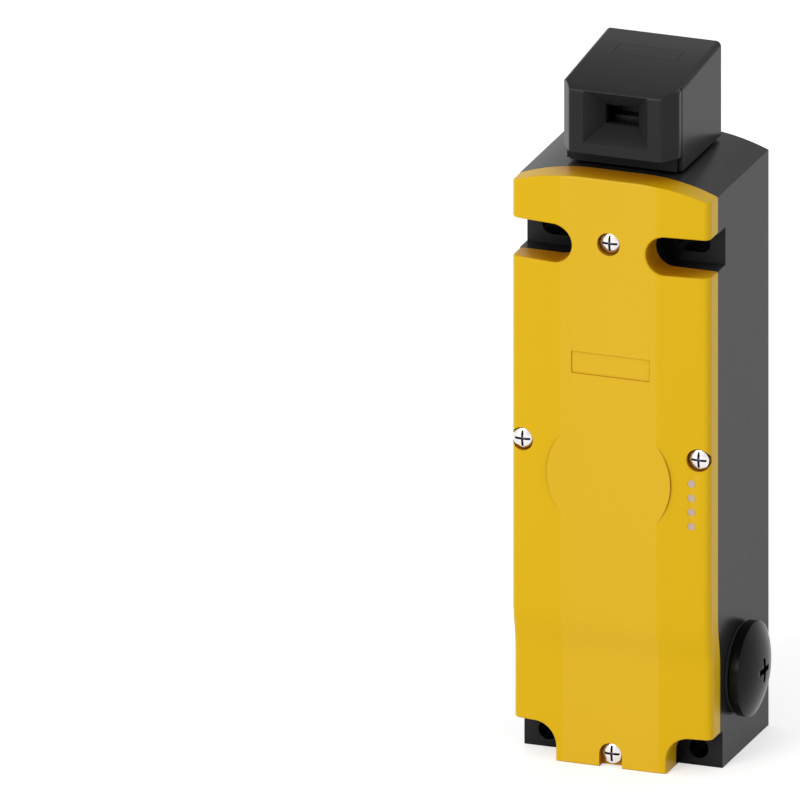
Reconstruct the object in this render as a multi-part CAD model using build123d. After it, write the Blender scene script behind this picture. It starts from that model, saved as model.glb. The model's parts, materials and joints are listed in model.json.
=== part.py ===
from build123d import *

import math
import os

# Safety interlock switch with a separate actuator and solenoid locking.
# Millimetres. X points right seen from the front, Y points back to the wall, Z points up.
# The origin lies on the rear face, midway between the two lower mounting holes.
# A "depth" is a distance forward from the rear face, a "height" is counted from the bottom face.

# Base housing
body_width = 54.0
base_depth = 37.8
side_height = 156.7
crown_rise = 3.85
crown_flat = 14.0
base_wall = 2.5
rear_wall = 2.5
step_back = 1.6
step_top_height = 42.0
step_length = 14.0

# Mounting holes and the cut-outs that lead to them
lower_hole_height = 4.6
lower_hole_spacing = 41.0
mounting_hole_radius = 2.65
pad_depth = 34.5
tab_width = 30.0
corner_height = 10.0
corner_radius = 6.0
slot_height = 141.55
slot_opening = 10.3
slot_inner_spacing = 20.2
ledge_depth = 32.3
upper_hole_spacing = 37.0
upper_hole_length = 8.8

# Cable entries, M20 x 1.5, and their closing plugs
entry_core_radius = 9.25
entry_height = 23.0
entry_depth = 21.2
entry_boss_radius = 12.0
entry_thread_length = 8.0
bottom_entry_depth = 18.0
plug_radius = 12.5
plug_rim = 2.9
plug_dome = 3.0
plug_rim_chamfer = 0.6
plug_recess_length = 6.4
plug_recess_width = 1.5
plug_recess_depth = 1.6
plug_seal_thickness = 0.8
plug_seal_radius = 11.6

# Front cover
cover_depth = 8.0
cover_wall = 2.2
cover_panel_width = 26.0
cover_side_slope = 6.6
cover_edge_radius = 2.0
cover_fold_radius = 12.0
cover_rim_radius = 0.5
parting_gap = 0.1
disc_radius = 16.8
disc_height = 79.3
name_field_width = 21.4
name_field_height = 6.0
name_field_rise = 0.25
name_field_corner = 0.3
name_field_x = 0.6
name_field_z = 110.0
gasket_width = 1.0
gasket_depth = 1.3
gasket_inset = 0.7

# Captive cover screws, M3
cover_screw_heights = (143.1, 3.6)
side_screw_height = 86.8
side_screw_spacing = 48.0
screw_recess = 0.7
side_screw_recess = 0.15
screw_head_radius = 2.7
screw_head_height = 2.0
screw_head_dome = 0.6
screw_shank_radius = 1.5
screw_shank_length = 12.0
screw_hole_spare = 0.5
screw_thread_clearance = 0.05
counterbore_radius = 3.1
screw_pillar_radius = 4.6
screw_boss_radius = 3.6
screw_boss_floor = 1.5
screw_web = 2.0
cross_recess_length = 4.2
cross_recess_width = 0.6
cross_recess_depth = 0.9

# Status lamps
lamp_x = 22.2
lamp_board_margin = 2.2
lamp_pitch = 3.88
lamp_count = 4
light_guide_radius = 1.0
board_width = 12.6
board_height = 24.0
board_thickness = 1.6
board_right = 24.2
board_boss_gap = 0.7
diode_size = 1.8
diode_height = 0.7
light_guide_gap = 0.4
board_rail_height = 4.0
board_rail_depth = 6.0
board_screw_grip = 4.0
board_screw_head_radius = 2.0
board_screw_head_height = 0.6

# Actuator head
head_width = 31.4
head_axis_depth = 20.2
head_rear_depth = 4.5
head_height = 25.5
head_slope = 5.0
head_gap = 0.3
cheek_front_depth = 33.5
bezel_side_length = 2.5
nose_length = 4.7
nose_width = 25.0
nose_corner_radius = 1.5
nose_chin = 2.9
brow_radius = 2.2
collar_length = 1.1
collar_width = 29.0
groove_width = 0.6
funnel_width = 17.6
funnel_height = 14.2
funnel_rise = 0.4
funnel_depth = 5.4
key_slot_width = 9.0
key_slot_height = 5.3
key_slot_rise = 3.2
head_wall = 4.0
head_cavity_width = 18.0
head_roof = 2.4
head_floor = 2.0
cap_width = 17.6
cap_length = 6.0
cap_thickness = 1.2
cap_centre_depth = 16.0
cap_gap = 0.1
roof_edge_radius = 1.4

# Neck on which the head turns
neck_radius = 11.0
neck_bore_radius = 8.0
neck_clearance = 0.05
neck_boss_radius = 14.0
neck_boss_depth = 5.0
retaining_ring_radius = 13.4
retaining_ring_thickness = 2.2
retaining_ring_clearance = 0.3
neck_seal_width = 1.6
neck_seal_depth = 1.0

# Cam wheel
cam_below_top = 14.75
cam_radius = 9.4
cam_width = 8.0
cam_side_gap = 0.6
cam_turn_angle = 60.0
cam_low_angle = 60.0
cam_axle_radius = 2.0
cam_axle_length = 23.0
cam_axle_clearance = 0.05
key_pocket_depth = 3.6
key_pocket_height = 4.4

# Plunger and its guide
plunger_rise = 3.5
plunger_radius = 2.5
plunger_clearance = 0.06
plunger_tip_radius = 1.0
plunger_tip_gap = 0.35
plunger_tip_length = 2.0
bridge_height = 145.0
bridge_thickness = 3.5
bridge_depth = 24.5
guide_radius = 5.0
guide_flange_radius = 6.4
guide_flange_thickness = 1.2
shoulder_radius = 5.4
shoulder_thickness = 2.0
shoulder_clearance = 0.5
spring_radius = 3.9
spring_wire = 0.8
spring_turns = 5

# Position contact block, hung below the walls of the upper slots
block_top_gap = 3.0
block_height = 34.0
block_width = 26.0
block_depth = 24.0
block_wall = 2.0
carrier_width = 7.6
carrier_depth = 4.8
carrier_clearance = 0.4
contact_levels = 3
contact_pitch = 8.4
contact_first_height = 3.6
bridge_contact_length = 19.0
bridge_contact_width = 4.0
contact_thickness = 0.8
contact_gap = 0.3
contact_inner_x = 5.4
clamp_width = 7.0
clamp_depth = 8.0
clamp_height = 6.0
clamp_gap = 0.4
clamp_screw_radius = 1.5
clamp_screw_head_radius = 2.6
clamp_screw_head_height = 1.6
clamp_screw_length = 6.0
clamp_screw_slot = 0.7
fixing_screw_radius = 1.5
fixing_screw_head_radius = 2.5
fixing_screw_margin = 0.3
screw_tip_gap = 1.0
fixing_pad_height = 4.0

# Locking: a slider enters under the plunger's collar as the plunger rises
lock_travel = 3.0
collar_radius = 6.0
collar_height = 84.0
collar_rim = 1.6
lock_gap = 0.4
lock_nose_width = 7.0
lock_nose_length = 1.2
lock_nose_drop = 1.0
lock_plate_thickness = 3.0
lock_plate_height = 8.5
lock_plate_overlap = 0.5
lock_tail_x = -18.2
lock_arm_reach = 13.0
lock_arm_clearance = 1.0
lock_arm_width = 2.4
lock_arm_height = 2.6

# Solenoid
solenoid_x = -12.0
armature_radius = 4.0
armature_clearance = 0.06
fork_gap = 0.3
cross_pin_radius = 1.0
cross_pin_clearance = 0.1
cross_pin_height = 85.5
fork_bottom_height = 79.2
fork_end = 1.5
coil_bottom_height = 50.0
coil_height = 27.0
coil_radius = 10.8
bobbin_wall = 1.2
bobbin_flange = 1.5
winding_inset = 0.6
yoke_thickness = 2.5
yoke_width = 14.0
armature_bottom_height = 59.0
magnet_gap = 0.3
return_spring_bore = 2.3
return_spring_radius = 1.7
return_spring_wire = 0.6
return_spring_turns = 7
return_spring_depth = 5.0

# Monitor contact, switched by the lock slider
monitor_arm_gap = 4.0
monitor_height = 19.0
monitor_left = 4.5
monitor_width = 16.0
monitor_rear_depth = 11.0
monitor_depth = 16.8
monitor_wall = 1.6
finger_floor_gap = 2.9
monitor_bridge_length = 10.0
monitor_bridge_height = 3.0
monitor_post_width = 2.6

# Terminal block in the wiring space
terminal_count = 5
terminal_pitch = 8.4
terminal_bottom_height = 37.5
terminal_height = 8.5
terminal_rear_depth = 5.0
terminal_depth = 17.0
terminal_wall = 1.2
terminal_clamp_depth = 4.0
terminal_screw_length = 3.0
earth_screw_x = 14.0
earth_screw_height = 16.0
earth_boss_radius = 3.4
earth_boss_depth = 6.0

half_width = body_width / 2
bottom_z = -lower_hole_height
shoulder_z = bottom_z + side_height
crown_z = shoulder_z + crown_rise
cover_front = base_depth + cover_depth
slot_z = bottom_z + slot_height
entry_z = bottom_z + entry_height
head_half = head_width / 2
head_y = -head_axis_depth
head_base_z = crown_z + head_gap
head_top_z = head_base_z + head_height
nose_depth = cheek_front_depth + bezel_side_length + nose_length
cam_z = head_top_z - cam_below_top
key_slot_z = cam_z + key_slot_rise
funnel_z = key_slot_z + funnel_rise
nose_z = funnel_z - funnel_height / 2 - nose_chin
cam_low_radius = cam_radius - plunger_rise
plunger_tip_z = cam_z - cam_radius - plunger_tip_gap
block_top_z = slot_z - slot_opening / 2 - base_wall - block_top_gap
block_z = block_top_z - block_height
block_front = head_axis_depth + block_depth / 2
block_rear = head_axis_depth - block_depth / 2
bridge_z = bottom_z + bridge_height
spring_top_z = bridge_z - shoulder_clearance - plunger_rise - shoulder_thickness
collar_z = bottom_z + collar_height
monitor_z = collar_z - lock_nose_drop - monitor_arm_gap - monitor_height
finger_z = monitor_z + monitor_wall + finger_floor_gap
board_top_z = bottom_z + side_screw_height - screw_boss_radius - board_boss_gap
board_z = board_top_z - board_height
coil_z = bottom_z + coil_bottom_height
coil_top_z = coil_z + coil_height
overshoot = 20.0
beyond = 1.0


def block(x_range, depth_range, z_range):
    """A rectangular block between two sides, two depths and two heights."""
    size = [high - low for low, high in (x_range, depth_range, z_range)]
    centre = [(low + high) / 2 for low, high in (x_range, depth_range, z_range)]
    return Pos(centre[0], -centre[1], centre[2]) * Box(*size)


def rod_x(depth, z, radius, x_start, x_end):
    """A round bar across the switch."""
    middle = Pos((x_start + x_end) / 2, -depth, z)
    return middle * Rot(0, 90, 0) * Cylinder(radius, x_end - x_start)


def rod_y(x, z, radius, rear, front):
    """A round bar that runs forward from one depth to another."""
    return Pos(x, -(rear + front) / 2, z) * Rot(90, 0, 0) * Cylinder(radius, front - rear)


def rod_z(x, depth, radius, z_low, z_high):
    """A round upright bar."""
    return Pos(x, -depth, (z_low + z_high) / 2) * Cylinder(radius, z_high - z_low)


def tube_z(x, depth, outer, inner, z_low, z_high):
    """A round upright tube."""
    return rod_z(x, depth, outer, z_low, z_high) - rod_z(x, depth, inner, z_low, z_high)


def forward(outline, rear, front):
    """A front-view outline carried from one depth to another."""
    return Pos(0, -rear, 0) * extrude(Plane.XZ * outline, amount=front - rear)


def sideways(outline, half):
    """A side-view outline, drawn in Y and Z, carried to both sides of the middle plane."""
    return extrude(Plane.YZ * outline, amount=half, both=True)


def cross_recess(length, width, depth):
    """Two crossed bars that are cut into a screw head, in XY below Z = 0."""
    bars = Box(length, width, 2 * depth) + Box(width, length, 2 * depth)
    return bars


def coil_spring(x, depth, z_low, z_high, radius, wire, turns):
    """An upright coil spring that fills the height between its two seats."""
    rise = z_high - z_low - wire
    helix = Helix(pitch=rise / turns, height=rise, radius=radius)
    coil = sweep((helix ^ 0) * Circle(wire / 2), path=helix)
    return Pos(x, -depth, z_low + wire / 2) * coil


def housing_outline():
    """Front view of the housing: straight sides under an arched top with a flat crown."""
    flat = crown_flat / 2
    edges = [
        Line((-flat, crown_z), (flat, crown_z)),
        TangentArc((flat, crown_z), (half_width, shoulder_z), tangent=(1, 0)),
        Polyline((half_width, shoulder_z), (half_width, bottom_z),
                 (-half_width, bottom_z), (-half_width, shoulder_z)),
        TangentArc((-flat, crown_z), (-half_width, shoulder_z), tangent=(-1, 0)),
    ]
    return make_face(Curve() + edges)


def slot_cutout(side):
    """Front view of one mounting slot: open to the side, round at its inner end."""
    radius = slot_opening / 2
    inner = slot_inner_spacing / 2 + radius
    outer = half_width + overshoot
    run = Pos(side * (inner + outer) / 2, slot_z) * Rectangle(outer - inner, slot_opening)
    return run + Pos(side * inner, slot_z) * Circle(radius)


def corner_cutout(side):
    """Front view of one lower corner cut-out, rounded at its inner corner."""
    width = body_width - tab_width
    rounded = RectangleRounded(width, 2 * corner_height, corner_radius)
    return Pos(side * half_width, bottom_z) * rounded


def plan_outline():
    """Front view of the closed part of the housing, without slots and corner cut-outs."""
    plan = housing_outline()
    for side in (-1, 1):
        plan -= slot_cutout(side)
        plan -= corner_cutout(side)
    return plan


def step_path(depth, z_high, z_low):
    """Side-view line of a face that steps back in an S near the bottom of the switch."""
    step_z = bottom_z + step_top_height
    lower = depth - step_back
    middle = (-(depth + lower) / 2, step_z - step_length / 2)
    return [
        Line((-depth, z_high), (-depth, step_z)),
        TangentArc((-depth, step_z), middle, tangent=(0, -1)),
        TangentArc((-lower, step_z - step_length), middle, tangent=(0, 1)),
        Line((-lower, step_z - step_length), (-lower, z_low)),
    ]


def behind_parting(advance):
    """Everything behind the parting face, moved forward by a small advance."""
    z_high = crown_z + overshoot
    z_low = bottom_z - overshoot
    depth = base_depth + advance
    back = Polyline((-depth + step_back, z_low), (overshoot, z_low),
                    (overshoot, z_high), (-depth, z_high))
    profile = make_face(Curve() + (step_path(depth, z_high, z_low) + [back]))
    return sideways(profile, half_width + overshoot)


def front_at(x):
    """Depth of the cover's front face at a distance from the middle, above the step."""
    slope = math.tan(math.radians(cover_side_slope))
    return cover_front - max(0.0, abs(x) - cover_panel_width / 2) * slope


def cover_section(inset):
    """Cross-section of the cover: a flat middle panel and two panels that slope back."""
    fold = cover_panel_width / 2
    corner = front_at(half_width)
    rear = base_depth - step_back - 2 * cover_wall
    points = [(-half_width, -rear), (-half_width, -corner), (-fold, -cover_front),
              (fold, -cover_front), (half_width, -corner), (half_width, -rear)]
    face = make_face(Polyline(*points, close=True))
    between = (half_width + fold) / 2
    corners = [point for point in face.vertices()
               if abs(point.X) > between and point.Y < -base_depth]
    face = fillet(corners, cover_edge_radius)
    folds = [point for point in face.vertices()
             if abs(point.X) < between and point.Y < -base_depth]
    face = fillet(folds, cover_fold_radius)
    if inset:
        face = offset(face, -inset)
    return face


def swept_cover(inset):
    """The cover's section carried down the S-step of its front."""
    z_high = crown_z + overshoot
    path = Plane.YZ * (Curve() + step_path(cover_front, z_high, bottom_z - overshoot))
    section = Pos(0, 0, z_high) * cover_section(inset)
    return sweep(section, path=path)


def cover_screw_places():
    """Where the cover screws are: X, Z and the depth of the head's top."""
    top, low = [bottom_z + height for height in cover_screw_heights]
    side_z = bottom_z + side_screw_height
    side_x = side_screw_spacing / 2
    side_depth = front_at(side_x) - side_screw_recess
    return [
        (0, top, cover_front - screw_recess),
        (-side_x, side_z, side_depth),
        (side_x, side_z, side_depth),
        (0, low, cover_front - step_back - screw_recess),
    ]


def base_housing():
    """Black housing: rear wall and side walls, slots with ledges, pads, entries and bosses."""
    envelope = forward(housing_outline(), 0, base_depth) & behind_parting(0)
    for side in (-1, 1):
        envelope -= forward(slot_cutout(side), ledge_depth, cover_front)
        envelope -= forward(corner_cutout(side), pad_depth, cover_front)
    cavity = offset(plan_outline(), -base_wall)
    body = envelope - forward(cavity, rear_wall, cover_front)
    body += inner_bosses() & envelope
    seat = gasket_outline()
    body -= forward(seat, rear_wall, cover_front) - behind_parting(-gasket_depth)
    for side in (-1, 1):
        x = side * lower_hole_spacing / 2
        body -= rod_y(x, 0, mounting_hole_radius, 0, base_depth)
        x = side * upper_hole_spacing / 2
        slot = Pos(x, slot_z) * SlotOverall(upper_hole_length, 2 * mounting_hole_radius)
        body -= forward(slot, 0, base_depth)
        body -= rod_x(entry_depth, entry_z, entry_core_radius,
                      *sorted((0, side * (half_width + beyond))))
    body -= rod_z(0, bottom_entry_depth, entry_core_radius, bottom_z - beyond,
                  bottom_z + entry_thread_length + beyond)
    body -= rod_z(0, head_axis_depth, neck_radius + neck_clearance,
                  crown_z - neck_boss_depth - beyond, crown_z + beyond)
    body -= rod_z(0, head_axis_depth, guide_radius, bridge_z - beyond,
                  bridge_z + bridge_thickness + beyond)
    hole = screw_shank_radius + screw_thread_clearance
    for x, z, head_depth in cover_screw_places():
        tip = head_depth - screw_head_height - screw_shank_length
        body -= rod_y(x, z, hole, tip - screw_hole_spare, cover_front)
    for x, z, front in fixing_places():
        body -= rod_y(x, z, fixing_screw_radius, rear_wall, front + beyond)
    for x, z in board_screw_places():
        body -= rod_y(x, z, fixing_screw_radius, board_rear() - board_screw_grip,
                      board_rear() + beyond)
    earth_z = bottom_z + earth_screw_height
    body -= rod_y(earth_screw_x, earth_z, clamp_screw_radius, rear_wall,
                  rear_wall + earth_boss_depth + beyond)
    return body


def inner_bosses():
    """Everything that stands inside the housing: bosses, bridge, pads and rails."""
    inside = half_width - base_wall / 2
    floor_z = bottom_z + entry_thread_length
    tab_half = tab_width / 2 - base_wall / 2
    bosses = block((-tab_half, tab_half), (0, base_depth), (bottom_z, floor_z))
    for side in (-1, 1):
        reach = sorted((side * half_width, side * (half_width - entry_thread_length)))
        bosses += rod_x(entry_depth, entry_z, entry_boss_radius, *reach)
    bosses += rod_z(0, head_axis_depth, neck_boss_radius, crown_z - neck_boss_depth, crown_z)
    column = slot_inner_spacing / 2 - base_wall / 2
    bosses += block((-column, column), (rear_wall / 2, bridge_depth + guide_radius),
                    (bridge_z, bridge_z + bridge_thickness))
    for x, z, head_depth in cover_screw_places()[1:3]:
        bosses += rod_y(x, z, screw_boss_radius, 0, base_depth)
    top_x, top_z, head_depth = cover_screw_places()[0]
    rear = head_depth - screw_head_height - screw_shank_length - screw_boss_floor
    bosses += rod_y(top_x, top_z, screw_boss_radius, rear, base_depth)
    bosses += block((-column, column), (rear, base_depth),
                    (top_z - screw_web / 2, top_z + screw_web / 2))
    for x_range, front, z_range in pad_places():
        bosses += block(x_range, (rear_wall / 2, front), z_range)
    rail_rear = board_rear() - board_rail_depth
    for z in board_rail_places():
        bosses += block((board_right - board_width, inside), (rail_rear, board_rear()),
                        (z, z + board_rail_height))
    earth_z = bottom_z + earth_screw_height
    bosses += rod_y(earth_screw_x, earth_z, earth_boss_radius, rear_wall / 2,
                    rear_wall + earth_boss_depth)
    return bosses


def pad_places():
    """Pads on the rear wall that carry the inner units: X range, front depth, Z range."""
    half = block_width / 2
    yoke = yoke_width / 2
    coil_rear = head_axis_depth - coil_radius - yoke_thickness
    terminal_z = bottom_z + terminal_bottom_height
    terminal_half = terminal_count * terminal_pitch / 2
    return [
        ((-half, half), block_rear, (block_z, block_z + fixing_pad_height)),
        ((-half, half), block_rear, (block_top_z - fixing_pad_height, block_top_z)),
        ((solenoid_x - yoke, solenoid_x + yoke), coil_rear, (coil_z, coil_top_z)),
        ((monitor_left, monitor_left + monitor_width), monitor_rear_depth,
         (monitor_z, monitor_z + fixing_pad_height)),
        ((-terminal_half, terminal_half), terminal_rear_depth,
         (terminal_z, terminal_z + terminal_height)),
    ]


def fixing_places():
    """Screws that hold the inner units on their pads: X, Z and the depth of the seat."""
    half = block_width / 2
    corner = half - fixing_screw_head_radius - fixing_screw_margin
    z_low = block_z + fixing_pad_height / 2
    z_high = block_top_z - fixing_pad_height / 2
    return [(-corner, z_low, block_rear), (corner, z_high, block_rear)]


def gasket_outline():
    """Front view of the gasket's groove, which passes inside the outer cover screws."""
    inside = offset(plan_outline(), -base_wall)
    floor = Pos(0, bottom_z) * Rectangle(body_width, 2 * entry_thread_length)
    inside -= floor
    for x, z, head_depth in cover_screw_places()[1:3]:
        inside -= Pos(x, z) * Circle(screw_boss_radius)
    return offset(inside, gasket_inset + gasket_width) - offset(inside, gasket_inset)


def cover_gasket():
    """Rubber ring in the groove of the base's rim, pressed by the cover."""
    ring = forward(gasket_outline(), rear_wall, cover_front)
    return (ring & behind_parting(parting_gap)) - behind_parting(-gasket_depth)


def cover_rim(body):
    """Edges between the cover's front and its outer walls."""
    walls = (Plane.XZ * plan_outline()).edges()

    def on_rim(edge):
        points = [edge @ share for share in (0.25, 0.5, 0.75)]
        seen = [Vertex(point.X, 0, point.Z) for point in points]
        in_front = all(-point.Y > base_depth + cover_wall for point in points)
        return in_front and all(min(point.distance_to(wall) for wall in walls) < parting_gap / 10
                                for point in seen)

    return [edge for edge in body.edges() if on_rim(edge)]


def front_cover():
    """Yellow cover: folded front with a wall all round, also round the slots and corners."""
    plan = plan_outline()
    disc = forward(Pos(0, bottom_z + disc_height) * Circle(disc_radius),
                   base_depth, cover_front)
    solid = (swept_cover(0) + disc) & forward(plan, 0, cover_front + beyond)
    solid = fillet(cover_rim(solid), cover_rim_radius)
    body = solid - (swept_cover(cover_wall) & forward(offset(plan, -cover_wall), 0, cover_front))
    for x, z, head_depth in cover_screw_places():
        body += rod_y(x, z, screw_pillar_radius, 0, cover_front) & solid
    field = Pos(name_field_x, bottom_z + name_field_z) * RectangleRounded(
        name_field_width, name_field_height, name_field_corner)
    body += forward(field, cover_front - name_field_rise, cover_front + name_field_rise)
    body -= behind_parting(parting_gap)
    for x, z, head_depth in cover_screw_places():
        seat = head_depth - screw_head_height
        body -= rod_y(x, z, counterbore_radius, seat, cover_front + beyond)
        body -= rod_y(x, z, screw_shank_radius, 0, cover_front)
    for z in lamp_places():
        body -= rod_y(lamp_x, z, light_guide_radius, 0, cover_front + beyond)
    return body


def lamp_places():
    """Heights of the status lamps, from the top one down."""
    highest = board_top_z - lamp_board_margin
    return [highest - index * lamp_pitch for index in range(lamp_count)]


def light_guides():
    """Clear rods that lead the light of the diodes to the cover's face."""
    rear = board_rear() + board_thickness + diode_height + light_guide_gap
    front = front_at(lamp_x)
    return [rod_y(lamp_x, z, light_guide_radius, rear, front) for z in lamp_places()]


def dome_arc(radius, flank, rise):
    """Half profile of a shallow dome, from its rim to its top on the axis."""
    ball = (radius ** 2 + rise ** 2) / (2 * rise)
    middle = radius / 2
    height = flank + rise - ball + math.sqrt(ball ** 2 - middle ** 2)
    return ThreePointArc((radius, flank), (middle, height), (0, flank + rise))


def cover_screw(x, z, head_depth):
    """Pan-head screw with a cross recess, driven backwards into the base."""
    seat = head_depth - screw_head_height
    flank = screw_head_height - screw_head_dome
    profile = make_face(Curve() + [
        Polyline((0, screw_head_height), (0, 0), (screw_head_radius, 0),
                 (screw_head_radius, flank)),
        dome_arc(screw_head_radius, flank, screw_head_dome),
    ])
    head = revolve(Plane.XZ * profile, Axis.Z)
    head -= Pos(0, 0, screw_head_height) * cross_recess(
        cross_recess_length, cross_recess_width, cross_recess_depth)
    shank = Pos(0, 0, -screw_shank_length / 2) * Cylinder(screw_shank_radius,
                                                          screw_shank_length)
    return Pos(x, -seat, z) * Rot(90, 0, 0) * (head + shank)


def cover_screws():
    """The four captive screws of the cover."""
    return [cover_screw(x, z, depth) for x, z, depth in cover_screw_places()]


def right_plug():
    """Closing plug of the right cable entry: thread, flange and dome with a cross recess."""
    rise = plug_seal_thickness + plug_rim
    corner = plug_rim_chamfer
    profile = make_face(Curve() + [
        Polyline((0, rise + plug_dome), (0, -entry_thread_length),
                 (entry_core_radius, -entry_thread_length),
                 (entry_core_radius, plug_seal_thickness),
                 (plug_radius - corner, plug_seal_thickness),
                 (plug_radius, plug_seal_thickness + corner), (plug_radius, rise)),
        dome_arc(plug_radius, rise, plug_dome),
    ])
    plug = revolve(Plane.XZ * profile, Axis.Z)
    plug -= Pos(0, 0, rise + plug_dome) * cross_recess(
        plug_recess_length, plug_recess_width, plug_recess_depth)
    return Pos(half_width, -entry_depth, entry_z) * Rot(0, 90, 0) * plug


def plug_seal():
    """Flat ring between the plug and the housing."""
    reach = (half_width, half_width + plug_seal_thickness)
    ring = rod_x(entry_depth, entry_z, plug_seal_radius, *reach)
    return ring - rod_x(entry_depth, entry_z, entry_core_radius, *reach)


def roof_z(depth):
    """Height of the head's sloping roof at a depth."""
    fall = (depth - head_rear_depth) * math.tan(math.radians(head_slope))
    return head_top_z - fall


def head_side_view(rear, front, z_low):
    """Side view of a stretch of the head under its sloping roof."""
    points = [(-rear, z_low), (-rear, roof_z(rear)), (-front, roof_z(front)), (-front, z_low)]
    return make_face(Polyline(*points, close=True))


def head_stretch(rear, front, z_low):
    """A stretch of the head with the long edges of its roof rounded."""
    body = sideways(head_side_view(rear, front, z_low), head_half)
    middle_z = roof_z((rear + front) / 2)
    long_edges = [edge for edge in body.edges()
                  if abs(edge.center().Z - middle_z) < roof_edge_radius / 2
                  and abs(edge.center().X) > nose_width / 2]
    return fillet(long_edges, roof_edge_radius)


def neck():
    """Hollow neck of the head, which turns in the top of the base, with its seal groove."""
    top = head_base_z + head_floor
    low = crown_z - neck_boss_depth - retaining_ring_clearance - retaining_ring_thickness
    body = tube_z(0, head_axis_depth, neck_radius, neck_bore_radius, low, top)
    return body - seal_ring(neck_radius + beyond)


def seal_ring(outer):
    """Ring-shaped space of the neck seal out to a radius."""
    middle = crown_z - neck_boss_depth / 2
    return tube_z(0, head_axis_depth, outer, neck_radius - neck_seal_depth,
                  middle - neck_seal_width / 2, middle + neck_seal_width / 2)


def head_housing():
    """Rear block of the head: roof, cheeks, rear wall, floor and the turned neck."""
    body = head_stretch(head_rear_depth, cheek_front_depth, head_base_z)
    half = head_cavity_width / 2
    ceiling = roof_z(cheek_front_depth) - head_roof
    body -= block((-half, half), (head_rear_depth + head_wall, cheek_front_depth + beyond),
                  (head_base_z + head_floor, ceiling))
    body -= rod_z(0, head_axis_depth, neck_bore_radius, head_base_z - beyond,
                  head_base_z + head_floor + beyond)
    body += neck()
    cam_space = cam_width / 2 + cam_side_gap
    body -= rod_x(head_axis_depth, cam_z, cam_radius + cam_side_gap, -cam_space, cam_space)
    reach = cam_axle_length / 2
    body -= rod_x(head_axis_depth, cam_z, cam_axle_radius, -reach, reach)
    body -= block((-reach, reach), (head_axis_depth, cheek_front_depth + beyond),
                  (cam_z - cam_axle_radius, cam_z + cam_axle_radius))
    body -= cap_block(cap_width, cap_length)
    return body


def cap_block(width, length):
    """Sloping block of the closed second entry in the head's roof."""
    place = Pos(0, -cap_centre_depth, roof_z(cap_centre_depth)) * Rot(head_slope, 0, 0)
    return place * Pos(0, 0, -cap_thickness / 2) * Box(width, length, cap_thickness)


def head_cap():
    """Cap that closes the head's second entry."""
    return cap_block(cap_width - 2 * cap_gap, cap_length - 2 * cap_gap)


def head_bezel():
    """Nose of the head: cut-off corners, a lower collar and the funnel to the key slot."""
    nose_half = nose_width / 2
    shoulder = cheek_front_depth + bezel_side_length
    plan = make_face(Polyline(
        (-head_half, -cheek_front_depth), (-head_half, -shoulder),
        (-nose_half, -nose_depth), (nose_half, -nose_depth),
        (head_half, -shoulder), (head_half, -cheek_front_depth), close=True))
    corners = [point for point in plan.vertices()
               if point.Y < -cheek_front_depth - bezel_side_length / 2]
    plan = fillet(corners, nose_corner_radius)
    nose = Pos(0, 0, nose_z) * extrude(plan, amount=head_top_z - nose_z)
    nose &= head_stretch(cheek_front_depth, nose_depth, nose_z)
    nose &= sideways(brow_profile(), head_half)
    body = nose + block((-collar_width / 2, collar_width / 2),
                        (cheek_front_depth, cheek_front_depth + collar_length),
                        (head_base_z, nose_z))
    for side in (-1, 1):
        groove = sorted((side * head_half, side * (head_half - groove_width)))
        body -= block(groove, (cheek_front_depth, cheek_front_depth + groove_width),
                      (nose_z - beyond, head_top_z + beyond))
    body -= funnel()
    tongue = cam_axle_radius
    inner = head_cavity_width / 2
    for side in (-1, 1):
        ear = sorted((side * (inner + cap_gap), side * (cam_axle_length / 2 - cap_gap)))
        bar = block(ear, (head_axis_depth + cam_axle_radius, cheek_front_depth + beyond),
                    (cam_z - tongue, cam_z + tongue))
        body += bar - rod_x(head_axis_depth, cam_z, cam_axle_radius, -head_half, head_half)
    return body


def brow_profile():
    """Side view of the head's nose, with the edge between roof and front rounded."""
    face = head_side_view(cheek_front_depth, nose_depth, nose_z)
    corner = [point for point in face.vertices()
              if point.X < -nose_depth + nose_length and point.Y > funnel_z]
    return fillet(corner, brow_radius)


def funnel():
    """Tapering entry that leads the actuator key into its slot."""
    wide = Pos(0, funnel_z) * Rectangle(funnel_width, funnel_height)
    slot = Pos(0, key_slot_z) * Rectangle(key_slot_width, key_slot_height)
    mouth = Pos(0, -nose_depth, 0) * (Plane.XZ * wide)
    throat_depth = nose_depth - funnel_depth
    throat = Pos(0, -throat_depth, 0) * (Plane.XZ * slot)
    taper = loft([mouth.face(), throat.face()], ruled=True)
    return taper + forward(slot, cheek_front_depth - overshoot, throat_depth)


def retaining_ring():
    """Ring under the top wall that keeps the head's neck in the housing."""
    top = crown_z - neck_boss_depth - retaining_ring_clearance
    return tube_z(0, head_axis_depth, retaining_ring_radius, neck_radius,
                  top - retaining_ring_thickness, top)


def cam_reach(angle):
    """Radius of the cam's path at an angle from straight down towards the rear."""
    return cam_radius - plunger_rise * angle / cam_turn_angle


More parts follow.
